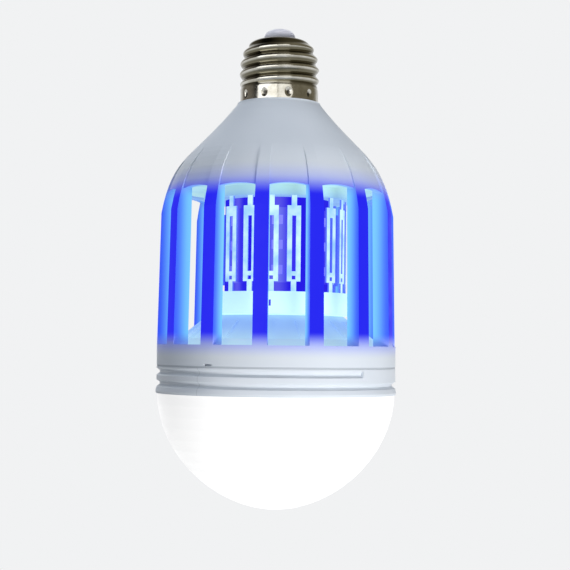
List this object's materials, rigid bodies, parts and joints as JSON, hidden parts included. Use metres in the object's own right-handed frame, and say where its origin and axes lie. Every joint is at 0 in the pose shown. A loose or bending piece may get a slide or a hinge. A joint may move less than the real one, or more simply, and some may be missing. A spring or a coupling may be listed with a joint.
{
  "type": "insect killer light bulb",
  "caption": "Screw-in light bulb with an insect-killing electric grid behind a ribbed cage, an ultraviolet light column and a screw-off white light module.",
  "frame": {"origin": "centre of the flat top of the centre contact of the screw cap", "axes": "+Z along the lamp's axis, from the diffuser towards the cap, so the lamp hangs below its origin; -Y is the side seen in the picture"},
  "size_m": [0.079, 0.079, 0.1586],
  "materials": {
    "contact_metal": "satin, domed button",
    "insulator": "smooth moulded",
    "nickel": "rolled and nickel plated, slightly worn on the crests",
    "white_shell": "fine satin moulding",
    "grid_plastic": "satin moulding lit by the column",
    "grid_steel": "stamped and plated",
    "column_plastic": "satin",
    "uv_board": "solder mask, satin",
    "uv_light": "lit",
    "screw_steel": "zinc plated",
    "circuit_board": "solder mask",
    "ferrite": "dull",
    "capacitor_sleeve": "shrunk sleeve",
    "capacitor_film": "dipped",
    "black_parts": "moulded",
    "resistor": "dull",
    "lead_sleeve": "soft sleeve",
    "seal_rubber": "matt",
    "tray_plastic": "satin moulding",
    "led_board_metal": "white solder mask",
    "white_light": "lit",
    "terminal_plastic": "moulded",
    "diffuser_white": "frosted, lit from inside"
  },
  "bodies": {
    "bulb_body": {"centre_contact": "contact_metal", "cap_insulator": "insulator", "screw_shell": "nickel", "upper_housing": "white_shell", "grid_ceiling": "grid_plastic", "ceiling_screws": "screw_steel", "live_grid": "grid_steel", "return_grid": "grid_steel", "lower_drum": "grid_plastic", "light_column": "column_plastic", "uv_boards": "uv_board", "uv_leds": "uv_light", "column_screws": "screw_steel", "driver_board": "circuit_board", "transformer": "ferrite", "smoothing_capacitors": "capacitor_sleeve", "grid_capacitors": "capacitor_film", "bridge_rectifier": "black_parts", "surge_resistor": "resistor", "grid_diodes": "black_parts", "contact_lead": "lead_sleeve", "shell_lead": "lead_sleeve", "grid_leads": "lead_sleeve", "light_leads": "lead_sleeve"},
    "seal": {"seal_ring": "seal_rubber"},
    "light_module": {"lamp_housing": "white_shell", "insect_tray": "tray_plastic", "tray_screws": "screw_steel", "led_board": "led_board_metal", "white_leds": "white_light", "board_screws": "screw_steel", "lead_terminal": "terminal_plastic", "diffuser": "diffuser_white"}
  },
  "joints": [
    {"name": "module_drop", "type": "slide", "parent": "bulb_body", "child": "seal", "axis": [0, 0, -1], "range_m": [0, 0.005]},
    {"name": "module_unscrew", "type": "hinge", "parent": "seal", "child": "light_module", "pos_m": [0, 0, -0.1112], "axis": [0, 0, -1], "range_deg": [0, 450]}
  ],
  "couplings": [
    {"joint": "module_drop", "follows": "module_unscrew", "m_per_rad": 0.00063662}
  ]
}
